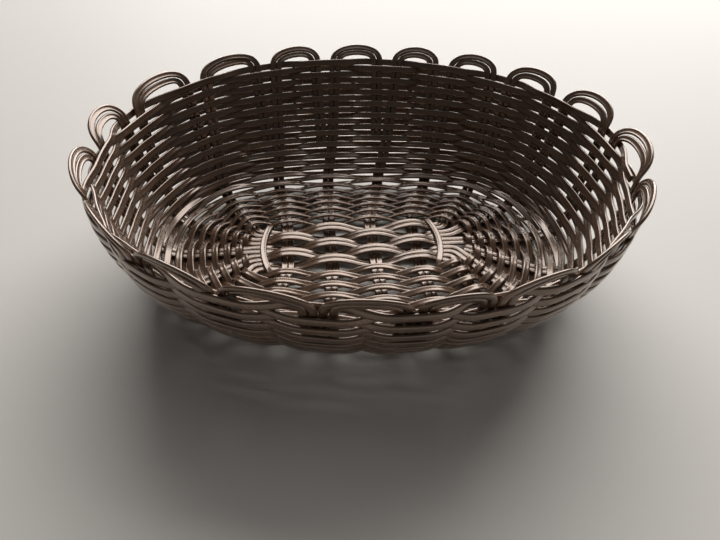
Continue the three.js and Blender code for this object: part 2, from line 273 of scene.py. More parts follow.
@dataclass
class Stake:
    """A pair of strands from its exit, where it leaves the woven centre, to the rim."""

    sizes: WeaveSizes
    exit: np.ndarray
    rim: np.ndarray
    outwards: np.ndarray = field(init=False)
    across: np.ndarray = field(init=False)
    front: float = field(init=False)
    rim_spread: float = field(init=False)
    wall_radius: float = field(init=False)
    first_reach: float = field(init=False)
    base_length: float = field(init=False)
    bend_length: float = field(init=False)
    whole_length: float = field(init=False)

    def __post_init__(self) -> None:
        """Works out the lengths of the flat part, the bend and the rounded wall."""
        sizes = self.sizes
        self.outwards = unit(self.rim - self.exit)
        self.across = np.array([self.outwards[1], -self.outwards[0], 0.0])
        self.front = max(0.0, -float(self.outwards[1])) ** 2
        self.rim_spread = sizes.rim_spread * (1 - self.front)
        rounding = clamp01(-sizes.corner_rounding * float(self.outwards[1]))
        self.wall_radius = mix(sizes.side_radius, sizes.front_radius, rounding)
        self.first_reach = self.reach_of_ring(sizes.first_ring)
        edge_reach = self.reach_of_ring(sizes.edge_ring)
        run = float(np.linalg.norm(self.rim - self.exit)) - edge_reach
        slope = self.foot_slope(run)
        rest_run, rest_rise = self.past_bend(run, slope)
        self.base_length = edge_reach - self.first_reach
        self.bend_length = sizes.bend_radius * slope
        wall_length = 2 * self.wall_radius * (math.atan2(rest_rise, rest_run) - slope)
        self.whole_length = self.base_length + self.bend_length + wall_length

    def own_offset(self, turn: float, side: int) -> float:
        """Returns the sideways place of the stake's own strand on the given side."""
        sidestep = ramp(turn, self.sizes.sidestep_start_turn, self.sizes.sidestep_end_turn)
        return self.sizes.pair_pitch * (sidestep + side / 2) + self.spread(turn)

    def tuck_offset(self, turn: float, side: int) -> float:
        """Returns the sideways place of a strand that comes down from the loop before."""
        return -self.sizes.pair_pitch * (1 + side / 2) - self.spread(turn)

    def spread(self, turn: float) -> float:
        """Returns how far the strands have moved apart at a turn, on their way up to the rim."""
        return self.rim_spread * ramp(turn, self.sizes.sidestep_end_turn, self.sizes.rim_turn)

    def past_bend(self, run: float, angle: float) -> tuple[float, float]:
        """Returns how far out and up the rim lies from the end of a bend of this angle."""
        radius = self.sizes.bend_radius
        return run - radius * math.sin(angle), self.sizes.wall_rise - radius * (1 - math.cos(angle))

    def foot_slope(self, run: float) -> float:
        """Finds the angle at which the bend passes into the wall's arc.

        Args:
            run: level distance from the base's edge to the rim.

        Returns:
            The angle above the table, in radians, for which the arc ends at the rim.
        """

        def too_low(angle: float) -> bool:
            """Tells whether the arc from a bend of this angle passes below the rim."""
            rest_run, rest_rise = self.past_bend(run, angle)
            turned = (rest_run * rest_run + rest_rise * rest_rise) / (2 * self.wall_radius)
            return rest_rise * math.cos(angle) - rest_run * math.sin(angle) > turned

        return bisect(0.0, math.pi / 2, too_low)

    def reach_of_ring(self, ring: Ring) -> float:
        """Returns the level distance from the exit to where a ring of the base crosses."""
        return bisect(
            0.0,
            self.sizes.edge_ring.half_length * 2,
            lambda reach: ring.value(self.exit + self.outwards * reach) < 1,
        )

    def at(self, turn: float) -> Station:
        """Finds the place and directions where a turn crosses the stake.

        Args:
            turn: number of the turn, counted outwards from 1.

        Returns:
            The station there.
        """
        bend_radius, wall_radius = self.sizes.bend_radius, self.wall_radius
        length = self.whole_length * (turn - 1) / (self.sizes.rim_turn - 1)
        bend = min(max(length - self.base_length, 0.0), self.bend_length) / bend_radius
        angle = bend + max(0.0, length - self.base_length - self.bend_length) / wall_radius
        flat = self.first_reach + min(length, self.base_length)
        reach = flat + bend_radius * math.sin(bend) + wall_radius * (math.sin(angle) - math.sin(bend))
        rise = bend_radius * (1 - math.cos(bend)) + wall_radius * (math.cos(bend) - math.cos(angle))
        level = self.exit + self.outwards * reach
        outwards = np.array([*self.outwards, 0.0])
        return Station(
            place=np.array([*level, self.sizes.mid_height + rise]),
            along=outwards * math.cos(angle) + UP * math.sin(angle),
            across=self.across,
            inwards=UP * math.cos(angle) - outwards * math.sin(angle),
        )


@dataclass
class BasketPlan:
    """Where every stake stands, in the directions of the part's source."""

    sizes: WeaveSizes = WeaveSizes()
    stakes: list[Stake] = field(init=False)
    keys: list[str] = field(init=False)

    def __post_init__(self) -> None:
        """Places the stakes in clockwise order seen from above."""
        ends = self.stake_exits()
        self.keys = [key for key, _ in ends]
        places = self.rim_places(len(ends))
        back_middle = f"back{self.sizes.cross_count // 2}"
        first = len(ends) - self.keys.index(back_middle)
        self.stakes = [
            Stake(self.sizes, end, places[(first + i) % len(places)])
            for i, (_, end) in enumerate(ends)
        ]

    def direction(self, x: float, y: float) -> np.ndarray:
        """Returns the direction in the basket of a level direction in the woven centre."""
        cos, sin = math.cos(self.sizes.centre_turn), math.sin(self.sizes.centre_turn)
        return np.array([x * cos - y * sin, x * sin + y * cos, 0.0])

    def from_centre(self, x: float, y: float) -> np.ndarray:
        """Returns the level place in the basket of a place in the woven centre's own directions."""
        return np.array(self.sizes.centre_shift) + self.direction(x, y)[:2]

    def rim_places(self, count: int) -> list[np.ndarray]:
        """Finds the stakes' places around the rim.

        Args:
            count: number of stakes.

        Returns:
            Their level places, clockwise seen from above.
        """
        ring = self.sizes.rim_ring
        angles = math.pi / 2 - np.linspace(0.0, 2 * math.pi, self.sizes.rim_samples)
        cos, sin = np.cos(angles), np.sin(angles)
        xs = ring.half_length * np.sign(cos) * np.abs(cos) ** (2 / ring.power)
        ys = ring.half_width * np.sign(sin) * np.abs(sin) ** (2 / ring.power)
        outline = np.stack([xs, ys], axis=1)
        reach = StripPath.lengths_of(outline)
        evenly = reach[-1] * np.arange(count) / count
        along = (self.sizes.rim_lead + np.array(self.sizes.rim_offsets) + evenly) % reach[-1]
        return list(StripPath.resample(reach, outline, along))

    def row_exit(self, row: int, end: int) -> np.ndarray:
        """Finds where a row starts to splay.

        Args:
            row: number of the row, 0 for the middle one.
            end: 1 for its right end, -1 for its left one.

        Returns:
            The level place.
        """
        sizes = self.sizes
        step = sizes.right_exit_step if end > 0 else sizes.left_exit_step
        reach = sizes.binder_reach + sizes.row_exit_past_binder + step * (sizes.outer_row - abs(row))
        return self.from_centre(end * reach, row * sizes.row_pitch)

    def cross_exit(self, cross: int, end: int) -> np.ndarray:
        """Returns where a cross pair starts to splay at the back (end 1) or front (end -1)."""
        reach = self.sizes.centre_half_width + self.sizes.cross_exit_margin
        return self.from_centre((cross - self.sizes.outer_cross) * self.sizes.cross_pitch, end * reach)

    def stake_exits(self) -> list[tuple[str, np.ndarray]]:
        """Lists where the stakes leave the woven centre.

        Returns:
            Each stake's key and exit, clockwise from the right fan's first row in front.
        """
        outer, count = self.sizes.outer_row, self.sizes.cross_count
        ends = [(f"right{row}", self.row_exit(row, 1)) for row in range(-1, -outer - 1, -1)]
        ends += [(f"front{cross}", self.cross_exit(cross, -1)) for cross in reversed(range(count))]
        ends += [(f"left{row}", self.row_exit(row, -1)) for row in range(-outer, outer + 1)]
        ends += [(f"back{cross}", self.cross_exit(cross, 1)) for cross in range(count)]
        ends += [(f"right{row}", self.row_exit(row, 1)) for row in range(outer, -1, -1)]
        reach = self.sizes.binder_reach + self.sizes.added_start_past_binder
        ends.append(("added", self.from_centre(reach, -self.sizes.added_start_below_row)))
        return ends

    def domed(self, points: np.ndarray) -> np.ndarray:
        """Returns the points, with those of the base raised, most in its middle."""
        inside = np.array([ease(clamp01(1 - self.sizes.edge_ring.value(point))) for point in points])
        return points + np.outer(inside, UP) * self.sizes.dome

    def stake_and_next(self, key: str) -> tuple[Stake, Stake]:
        """Returns a stake and the next one clockwise."""
        index = self.keys.index(key)
        return self.stakes[index], self.stakes[(index + 1) % len(self.stakes)]


@dataclass(frozen=True)
class HandWander:
    """The small wandering of a strand that is laid by hand: sideways, across its face, and twist."""

    sideways: float = 0.10
    facing: float = 0.06
    twist: float = math.radians(3)
    wavelengths: tuple[float, ...] = (61.0, 37.0, 23.0)
    stretches: tuple[float, float] = (0.8, 1.25)

    def waves(self, lengths: np.ndarray, rng: np.random.Generator) -> np.ndarray:
        """Draws a smooth random line.

        Args:
            lengths: distance along the strand of each of its points.
            rng: the strand's own random numbers.

        Returns:
            One value for each point, mostly between -1 and 1, in a column.
        """
        total = np.zeros_like(lengths)
        for wavelength in self.wavelengths:
            stretch = wavelength * rng.uniform(*self.stretches)
            total += np.sin(2 * math.pi * (lengths / stretch + rng.random()))
        return total[:, None] / len(self.wavelengths)


@dataclass(frozen=True)
class StripSizes:
    """The section of the extruded strip and how finely it is meshed."""

    half_width: float = 1.65
    half_thickness: float = 0.75
    groove_place: float = 0.36
    groove_width: float = 0.40
    groove_depth: float = 0.48
    middle_rise: float = 0.5  # share of the grooves' depth by which the middle rib rises from them
    profile_points: int = 20
    longest_step: float = 3.0
    bend_scale: float = 0.045  # turning, in radians per millimetre, at which the steps halve


@dataclass
class StripPath:
    """The middle line of a strand, with the direction of its side at each point."""

    points: np.ndarray
    sides: np.ndarray

    LEAST_POINTS = 8
    WEIGHTED_REACHES = 3  # farther neighbours are left out of an average
    TURNING_REACH = 4.0  # points over which the turning is averaged

    @staticmethod
    def through(knots: Sequence[Knot], softness: float, fine_step: float = 0.5) -> "StripPath":
        """Lays a line through knots and rounds its corners.

        Args:
            knots: the places passed, in order.
            softness: reach of the rounding along the line.
            fine_step: spacing of the line's points.

        Returns:
            The rounded line.
        """
        places = np.array([knot.place for knot in knots])
        sides = np.array([knot.side for knot in knots])
        lengths = StripPath.lengths_of(places)
        count = max(StripPath.LEAST_POINTS, int(lengths[-1] / fine_step))
        even = np.linspace(0.0, lengths[-1], count)
        reach = softness / (lengths[-1] / (count - 1))
        return StripPath(
            StripPath.soften(StripPath.resample(lengths, places, even), reach),
            unit(StripPath.soften(StripPath.resample(lengths, sides, even), reach)),
        )

    @staticmethod
    def lengths_of(points: np.ndarray) -> np.ndarray:
        """Returns the distance along a line of each of its points."""
        steps = np.linalg.norm(np.diff(points, axis=0), axis=1)
        return np.concatenate([[0.0], np.cumsum(steps)])

    @staticmethod
    def resample(lengths: np.ndarray, values: np.ndarray, wanted: np.ndarray) -> np.ndarray:
        """Returns values, known at some lengths, at the wanted ones."""
        return np.stack([np.interp(wanted, lengths, column) for column in values.T], axis=1)

    @staticmethod
    def soften(values: np.ndarray, reach: float) -> np.ndarray:
        """Averages each value with its neighbours, without drawing the two ends in.

        Args:
            values: one row for each point.
            reach: width of the average, in points.

        Returns:
            The averaged values.
        """
        half = int(math.ceil(reach * StripPath.WEIGHTED_REACHES))
        if half < 1:
            return values
        offsets = np.arange(-half, half + 1)
        weights = np.exp(-0.5 * (offsets / reach) ** 2)
        weights /= weights.sum()
        before = 2 * values[0] - values[half:0:-1]
        after = 2 * values[-1] - values[-2 : -half - 2 : -1]
        padded = np.concatenate([before, values, after])
        return np.stack([np.convolve(column, weights, mode="valid") for column in padded.T], axis=1)

    @staticmethod
    def squared(sides: np.ndarray, tangents: np.ndarray) -> np.ndarray:
        """Returns the sides, turned square to the line."""
        return unit(sides - tangents * np.sum(sides * tangents, axis=1, keepdims=True))

    def tangents(self) -> np.ndarray:
        """Returns the direction of the line at each point."""
        return unit(np.gradient(self.points, axis=0))

    def wandered(self, wander: HandWander, rng: np.random.Generator) -> "StripPath":
        """Moves the line as an uneven hand would.

        Args:
            wander: how far it wanders.
            rng: the strand's own random numbers.

        Returns:
            The moved line.
        """
        lengths = self.lengths_of(self.points)
        tangents = self.tangents()
        sides = self.squared(self.sides, tangents)
        facings = np.cross(tangents, sides)
        sideways = wander.waves(lengths, rng) * wander.sideways
        towards = wander.waves(lengths, rng) * wander.facing
        angle = wander.waves(lengths, rng) * wander.twist
        points = self.points + sides * sideways + facings * towards
        return StripPath(points, sides * np.cos(angle) + facings * np.sin(angle))

    def spaced(self, sizes: StripSizes) -> "StripPath":
        """Spaces the points closer where the strand bends.

        Args:
            sizes: how finely the strip is meshed.

        Returns:
            The same line with fewer points, each side square to it.
        """
        lengths = self.lengths_of(self.points)
        turning = np.linalg.norm(np.gradient(self.tangents(), axis=0), axis=1) / np.gradient(lengths)
        turning = self.soften(turning[:, None], self.TURNING_REACH)[:, 0]
        density = (1 + np.sqrt(np.maximum(turning, 0.0) / sizes.bend_scale)) / sizes.longest_step
        counted = np.concatenate([[0.0], np.cumsum((density[1:] + density[:-1]) / 2 * np.diff(lengths))])
        count = max(self.LEAST_POINTS, int(counted[-1]) + 1)
        wanted = np.interp(np.linspace(0.0, counted[-1], count), counted, lengths)
        points = self.resample(lengths, self.points, wanted)
        path = StripPath(points, self.resample(lengths, self.sides, wanted))
        path.sides = self.squared(path.sides, path.tangents())
        return path


@dataclass(frozen=True)
class TreeMaker:
    """Adds sockets and nodes to a node tree."""

    tree: bpy.types.NodeTree

    def sockets(self, in_out: str, kinds: dict[str, str]) -> dict[str, str]:
        """Adds named sockets to the tree's interface.

        Args:
            in_out: INPUT or OUTPUT.
            kinds: what each socket carries, by its name.

        Returns:
            Their identifiers by name.
        """
        new_socket = self.tree.interface.new_socket
        return {
            name: new_socket(name, in_out=in_out, socket_type=f"NodeSocket{kind}").identifier
            for name, kind in kinds.items()
        }

    def add(self, kind: str, inputs: dict | None = None, **settings: object) -> bpy.types.Node:
        """Adds a node.

        Args:
            kind: its Blender type.
            inputs: a value or a socket to link for each input, by name or number.
            settings: the node's own properties, set before its inputs.

        Returns:
            The node.
        """
        node = self.tree.nodes.new(kind)
        for name, value in settings.items():
            setattr(node, name, value)
        for name, value in (inputs or {}).items():
            if isinstance(value, bpy.types.NodeSocket):
                self.tree.links.new(value, node.inputs[name])
            else:
                node.inputs[name].default_value = value
        return node

    def math(self, operation: str, *values: Operand) -> bpy.types.NodeSocket:
        """Adds a math node on the given sockets or numbers and returns its result."""
        return self.add("ShaderNodeMath", dict(enumerate(values)), operation=operation).outputs[0]

    def weighted(self, *terms: tuple[Operand, float]) -> bpy.types.NodeSocket:
        """Adds nodes that sum sockets or numbers.

        Args:
            terms: each one with its weight.

        Returns:
            The socket of the sum.
        """
        total = 0.0
        for value, weight in terms:
            total = self.math("ADD", total, self.math("MULTIPLY", value, weight))
        return total


class StripLoom:
    """Sweeps the twin-ribbed section along a line with one Geometry Nodes tree, and bakes the result."""

    SIDE_ATTRIBUTE = "side"
    TONE_ATTRIBUTE = "tone"
    SPACING_POWER = 1.3  # draws the profile's points towards its middle, where the grooves are
    CROWN_POWER = 4.0  # 2 would give a round section, and more a flatter one
    EDGE_HEIGHT = 1e-4  # below this a point of the circle is one of the strip's two edges
    CAP_CORNERS = 5.0  # a face with this many corners or more is an end cap, and stays flat
    LENGTHS = {
        "Half Width": "half_width",
        "Half Thickness": "half_thickness",
        "Groove Place": "groove_place",
        "Groove Width": "groove_width",
        "Groove Depth": "groove_depth",
    }

    def __init__(self, plan: BasketPlan) -> None:
        """Builds the tree.

        Args:
            plan: the basket that is woven.
        """
        self.plan = plan
        self.centring = np.array(plan.sizes.centring)
        self.tree = bpy.data.node_groups.new("twin_rib_strip", "GeometryNodeTree")
        self.make = TreeMaker(self.tree)
        kinds = {
            "Line": "Geometry",
            **dict.fromkeys(self.LENGTHS, "Float"),
            "Middle Rise": "Float",
            "Profile Points": "Int",
            "Material": "Material",
        }
        self.sockets = self.make.sockets("INPUT", kinds)
        self.make.sockets("OUTPUT", {"Strip": "Geometry"})
        self.build_tree()

    def store(
        self, name: str, geometry: bpy.types.NodeSocket, value: bpy.types.NodeSocket
    ) -> bpy.types.NodeSocket:
        """Stores a number at each point.

        Args:
            name: name of the attribute.
            geometry: socket of the geometry.
            value: socket of the number.

        Returns:
            The socket that gives the geometry with the attribute.
        """
        settings = {"data_type": "FLOAT", "domain": "POINT"}
        inputs = {"Name": name, "Geometry": geometry, "Value": value}
        return self.make.add("GeometryNodeStoreNamedAttribute", inputs, **settings).outputs[0]

    def build_profile(self, inputs: bpy.types.bpy_prop_collection) -> bpy.types.NodeSocket:
        """Makes a circle into a flat strip with two broad ribs and a low one between them.

        The grooves are cut where the circle's Y is below 0, which is the face that shows inside.

        Args:
            inputs: outputs of the tree's input node.

        Returns:
            The socket that gives the closed profile curve, with its attribute across.
        """
        add, calc = self.make.add, self.make.math
        fineness = {"Resolution": inputs["Profile Points"], "Radius": 1.0}
        circle = add("GeometryNodeCurvePrimitiveCircle", fineness)
        place = add("ShaderNodeSeparateXYZ", {0: add("GeometryNodeInputPosition").outputs[0]})
        side, up = place.outputs["X"], place.outputs["Y"]
        reach = calc("POWER", calc("ABSOLUTE", side), self.SPACING_POWER)
        from_middle = calc("MULTIPLY", reach, inputs["Half Width"])
        x = calc("MULTIPLY", from_middle, calc("SIGN", side))
        crown = calc("MAXIMUM", calc("SUBTRACT", 1.0, calc("POWER", reach, self.CROWN_POWER)), 0.0)
        height = calc("MULTIPLY", calc("SQRT", crown), inputs["Half Thickness"])
        past_groove = calc("SUBTRACT", from_middle, inputs["Groove Place"])
        outer = calc("DIVIDE", past_groove, inputs["Groove Width"])
        inner = calc("DIVIDE", past_groove, inputs["Groove Place"])
        inner = calc("MULTIPLY", inner, calc("MULTIPLY", inputs["Middle Rise"], -1.0))
        groove = calc("MAXIMUM", calc("SUBTRACT", 1.0, calc("MAXIMUM", outer, inner)), 0.0)
        groove = calc("MULTIPLY", groove, calc("LESS_THAN", up, 0.0))
        height = calc("SUBTRACT", height, calc("MULTIPLY", groove, inputs["Groove Depth"]))
        off_edge = calc("GREATER_THAN", calc("ABSOLUTE", up), self.EDGE_HEIGHT)
        y = calc("MULTIPLY", calc("MULTIPLY", height, calc("SIGN", up)), off_edge)
        moved = add("ShaderNodeCombineXYZ", {"X": x, "Y": y}).outputs[0]
        shaped = add("GeometryNodeSetPosition", {"Geometry": circle.outputs[0], "Position": moved})
        return self.store("across", shaped.outputs[0], calc("DIVIDE", x, inputs["Half Width"]))

    def build_tree(self) -> None:
        """Builds the tree: mesh line to curve, profile swept along it, ends closed, material set."""
        add = self.make.add
        inputs = add("NodeGroupInput").outputs
        curve = add("GeometryNodeMeshToCurve", {"Mesh": inputs["Line"]})
        named = {"Name": self.SIDE_ATTRIBUTE}
        side = add("GeometryNodeInputNamedAttribute", named, data_type="FLOAT_VECTOR")
        turned = {"Curve": curve.outputs[0], "Normal": side.outputs["Attribute"]}
        laid = add("GeometryNodeSetCurveNormal", turned, mode="FREE")
        length = add("GeometryNodeSplineParameter").outputs["Length"]
        rail = self.store("along", laid.outputs[0], length)
        swept = {"Curve": rail, "Profile Curve": self.build_profile(inputs), "Fill Caps": True}
        sweep = add("GeometryNodeCurveToMesh", swept)
        corners = add("GeometryNodeInputMeshFaceNeighbors").outputs["Vertex Count"]
        round_faces = self.make.math("LESS_THAN", corners, self.CAP_CORNERS)
        shading = {"Geometry": sweep.outputs[0], "Shade Smooth": round_faces}
        smooth = add("GeometryNodeSetShadeSmooth", shading)
        realized = add("GeometryNodeRealizeInstances", {"Geometry": smooth.outputs[0]})
        dress = {"Geometry": realized.outputs[0], "Material": inputs["Material"]}
        add("NodeGroupOutput", {"Strip": add("GeometryNodeSetMaterial", dress).outputs[0]})

    def bake(
        self,
        node: str,
        path: StripPath,
        material: bpy.types.Material,
        tone: float,
        strip: StripSizes,
    ) -> bpy.types.Object:
        """Makes the finished piece of one strand.

        Args:
            node: name of the CAD node that the piece stands for.
            path: the strand's line in millimetres.
            material: the strand's finish.
            tone: how light this strand is, from -1 to 1.
            strip: its section and fineness.

        Returns:
            The piece, a plain mesh in metres.
        """
        path = path.spaced(strip)
        count = len(path.points)
        line = bpy.data.meshes.new(f"{node}_line")
        points = (self.plan.domed(path.points) + self.centring) * METRES
        line.from_pydata(points.tolist(), [(i, i + 1) for i in range(count - 1)], [])
        sides = line.attributes.new(self.SIDE_ATTRIBUTE, "FLOAT_VECTOR", "POINT")
        sides.data.foreach_set("vector", path.sides.ravel())
        tones = line.attributes.new(self.TONE_ATTRIBUTE, "FLOAT", "POINT")
        tones.data.foreach_set("value", np.full(count, tone))
        holder = bpy.data.objects.new(f"{node}_line", line)
        bpy.context.scene.collection.objects.link(holder)
        modifier = holder.modifiers.new("strip", "NODES")
        modifier.node_group = self.tree
        for name, size in self.LENGTHS.items():
            modifier[self.sockets[name]] = getattr(strip, size) * METRES
        modifier[self.sockets["Middle Rise"]] = strip.middle_rise
        modifier[self.sockets["Profile Points"]] = strip.profile_points
        modifier[self.sockets["Material"]] = material
        depsgraph = bpy.context.evaluated_depsgraph_get()
        baked = bpy.data.meshes.new_from_object(holder.evaluated_get(depsgraph), depsgraph=depsgraph)
        baked.name = f"{node}_strip"
        holder.modifiers.remove(modifier)
        bpy.data.objects.remove(holder)
        bpy.data.meshes.remove(line)
        piece = bpy.data.objects.new(f"{node}_strip", baked)
        bpy.context.scene.collection.objects.link(piece)
        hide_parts(node)
        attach(piece, BODY)
        length = path.lengths_of(path.points)[-1]
        log.info("%s: %d points, %.0f mm, %d faces", piece.name, count, length, len(baked.polygons))
        return piece


class StripTone:
    """Shader group of the extruded strip: colour with painted shade in the grooves, roughness, coat and
    height from the place on it.
    """

    ALONG_SCALE = 60.0  # noise cells per metre of the streaks
    SLOW_SCALE = 22.0  # and of the slow changes
    STREAK_SHIFT = 37.0  # moves each strand, by its tone, to a place of its own in the streaks
    SLOW_SHIFT = 91.0
    STREAK_DETAIL = 3.0
    SLOW_DETAIL = 2.0
    # The groove mask paints shade into the grooves. It darkens the colour along two lines on each strip,
    # on both faces, and also raises the roughness and thins the coat there.
    GROOVE_PLACE = 0.22  # of the half width, where the painted groove shade is darkest
    GROOVE_SLOPE = 7.0
    # The groove weight pulls the colour towards dark: painted shade in the grooves. The other weights are
    # the plastic's own streaks and tone.
    TONE_AND_GROOVE_SHADE = {"streaks": 0.6, "slow": 0.5, "tone": 0.12, "groove": -1.6}
    ROUGHNESS = {"streaks": 0.16, "slow": 0.08, "groove": 0.25}

    @classmethod
    @cache
    def tree(cls) -> bpy.types.NodeTree:
        """Builds the group the first time it is asked for.

        Returns:
            The node tree.
        """
        tree = bpy.data.node_groups.new("strip_tone", "ShaderNodeTree")
        make = TreeMaker(tree)
        add, calc = make.add, make.math
        numbers = ("Along", "Across", "Tone", "Streak Scale", "Smoothness", "Coat")
        make.sockets("INPUT", {"Dark": "Color", "Light": "Color", **dict.fromkeys(numbers, "Float")})
        outputs = dict.fromkeys(("Roughness", "Coat", "Height"), "Float")
        make.sockets("OUTPUT", {"Color": "Color", **outputs})
        inputs = add("NodeGroupInput").outputs
        streak_place = {
            "X": calc("MULTIPLY", inputs["Across"], inputs["Streak Scale"]),
            "Y": calc("MULTIPLY", inputs["Along"], cls.ALONG_SCALE),
            "Z": calc("MULTIPLY", inputs["Tone"], cls.STREAK_SHIFT),
        }
        slow_place = {
            "X": calc("MULTIPLY", inputs["Along"], cls.SLOW_SCALE),
            "Y": calc("MULTIPLY", inputs["Tone"], cls.SLOW_SHIFT),
        }
        values = {"tone": inputs["Tone"]}
        noises = (("streaks", streak_place, cls.STREAK_DETAIL), ("slow", slow_place, cls.SLOW_DETAIL))
        for name, place, detail in noises:
            vector = add("ShaderNodeCombineXYZ", place).outputs[0]
            noise = add("ShaderNodeTexNoise", {"Scale": 1.0, "Detail": detail, "Vector": vector})
            values[name] = noise.outputs["Fac"]
        # Painted shade: a mask that peaks along the two grooves and darkens the colour there.
        from_middle = calc("ABSOLUTE", inputs["Across"])
        from_groove = calc("ABSOLUTE", calc("SUBTRACT", from_middle, cls.GROOVE_PLACE))
        groove = calc("SUBTRACT", 1.0, calc("MULTIPLY", from_groove, cls.GROOVE_SLOPE))
        values["groove"] = calc("MAXIMUM", groove, 0.0)
        share = make.weighted(*[(values[name], weight) for name, weight in cls.TONE_AND_GROOVE_SHADE.items()])
        # Inputs 6 and 7 and output 2 of this node are the ones for colours.
        blend = {"Factor": share, 6: inputs["Dark"], 7: inputs["Light"]}
        colour = add("ShaderNodeMix", blend, data_type="RGBA", clamp_factor=True)
        rough = [(values[name], weight) for name, weight in cls.ROUGHNESS.items()]
        results = {
            "Color": colour.outputs[2],
            "Roughness": make.weighted((inputs["Smoothness"], 1.0), *rough),
            "Coat": calc("MULTIPLY", calc("SUBTRACT", 1.0, values["groove"]), inputs["Coat"]),
            "Height": values["streaks"],
        }
        add("NodeGroupOutput", results)
        return tree


@dataclass(frozen=True)
class StripFinish:
    """The satin brown plastic of a strand, with a faint bronze shine."""

    name: str
    dark: tuple[float, float, float] = (0.036, 0.017, 0.009)
    light: tuple[float, float, float] = (0.235, 0.135, 0.082)
    metallic: float = 0.33
    smoothness: float = 0.13
    streak_scale: float = 9.0
    bump: float = 0.05
    bump_distance: float = 0.0002
    coat: float = 0.75
    coat_roughness: float = 0.15
    ior: float = 1.6
    specular: float = 0.8
    shine: tuple[float, float, float] = (1.0, 0.88, 0.76)

    def material(self) -> bpy.types.Material:
        """Builds the finish.

        Returns:
            The material.
        """
        material = bpy.data.materials.new(self.name)
        material.use_nodes = True
        material.node_tree.nodes.clear()
        add = TreeMaker(material.node_tree).add
        tone_inputs = {
            "Dark": (*self.dark, 1.0),
            "Light": (*self.light, 1.0),
            "Streak Scale": self.streak_scale,
            "Smoothness": self.smoothness,
            "Coat": self.coat,
        }
        for name in ("Along", "Across", "Tone"):
            attribute = add("ShaderNodeAttribute", attribute_name=name.lower())
            tone_inputs[name] = attribute.outputs["Fac"]
        tone = add("ShaderNodeGroup", tone_inputs, node_tree=StripTone.tree()).outputs
        relief = {"Strength": self.bump, "Distance": self.bump_distance, "Height": tone["Height"]}
        surface = {
            "Base Color": tone["Color"],
            "Roughness": tone["Roughness"],
            "Normal": add("ShaderNodeBump", relief).outputs[0],
            "Metallic": self.metallic,
            "IOR": self.ior,
            "Specular IOR Level": self.specular,
            "Specular Tint": (*self.shine, 1.0),
            "Coat Weight": tone["Coat"],
            "Coat Roughness": self.coat_roughness,
            "Coat IOR": self.ior,
        }
        plastic = add("ShaderNodeBsdfPrincipled", surface)
        add("ShaderNodeOutputMaterial", {"Surface": plastic.outputs[0]})
        return material


@dataclass
class RimLoops:
    """The double arches in which the strands pass over the rim to the next stake."""

    plan: BasketPlan
    outer_rise: float = 9.2
    inner_rise: float = 5.0
    flare: float = math.radians(36)
    front_stand: float = 0.6  # share of the flare which the loops at the very front have lost
    front_drop: float = 0.25  # share of the rise which they have lost
    back_drop: float = 0.16  # the same for those at the very back
    side_gain: float = 0.12  # share by which those at the left and right rise more
    lean: float = 0.05
    steps: int = 12

    PEAK = 0.75  # height of the cubic arch over that of its two handles

    def arch(self, stake: Stake, following: Stake, side: int) -> list[Knot]:
        """Curves one strand from a stake's rim to the next one's.

        Args:
            stake: the stake it comes up with.
            following: the next stake, where it goes down again.
            side: which strand of the stake, the clockwise one making the inner arch.

        Returns:
            The knots of the arch, without its two ends.
        """
        turn = self.plan.sizes.loop_turn
        start, end = stake.at(turn), following.at(turn)
        first = start.knot(stake.own_offset(turn, side))
        last = end.knot(following.tuck_offset(turn, side))
        towards_front = (stake.front + following.front) / 2
        rise = (self.inner_rise if side > 0 else self.outer_rise) / self.PEAK
        rise *= 1 - self.front_drop * towards_front
        x, y = (float(value) for value in (stake.outwards + following.outwards) / 2)
        rise *= 1 + self.side_gain * x**2 - self.back_drop * max(0.0, y) ** 2
        flare = self.flare * (1 - self.front_stand * towards_front)
        knots = [first]
        for i in range(1, self.steps):
            t = i / self.steps
            share = 3 * (1 - t) ** 2 * t * self.lean + 3 * (1 - t) * t * t + t**3
            wall_up = unit(mix(start.along, end.along, share))
            wall_in = unit(mix(start.inwards, end.inwards, share))
            upwards = wall_up * math.cos(flare) - wall_in * math.sin(flare)
            inwards = wall_in * math.cos(flare) + wall_up * math.sin(flare)
            place = mix(first.place, last.place, share) + upwards * (3 * (1 - t) * t * rise)
            knots.append(Knot(place, inwards, inwards))
        return self.with_sides([*knots, last])

    @staticmethod
    def with_sides(knots: list[Knot]) -> list[Knot]:
        """Turns the sides of an arch's knots square to its line.

        Args:
            knots: the knots of the arch, with its two ends.

        Returns:
            The turned knots, without the ends.
        """
        turned = []
        for before, knot, after in zip(knots, knots[1:], knots[2:]):
            direction = unit(after.place - before.place)
            facing = unit(knot.facing - direction * float(knot.facing @ direction))
            turned.append(Knot(knot.place, np.cross(direction, facing), facing))
        return turned


@dataclass
class Strands:
    """The strands of one kind. Each kind lists its own."""

    plan: BasketPlan
    softness: float = 2.2
    wander: HandWander | None = HandWander()
    strip: StripSizes = StripSizes()
    finish: StripFinish = field(kw_only=True)
    seed: int = field(kw_only=True)

    def strands(self) -> Iterator[Course]:
        """Yields each strand's course."""
        raise NotImplementedError

    def build(self, loom: StripLoom) -> None:
        """Lays and dresses the strands.

        Args:
            loom: what bakes them.
        """
        material = self.finish.material()
        for node, number, knots in self.strands():
            rng = np.random.default_rng(self.seed + number)
            path = StripPath.through(knots, self.softness)
            if self.wander:
                path = path.wandered(self.wander, rng)
            loom.bake(node, path, material, rng.uniform(-1, 1), self.strip)


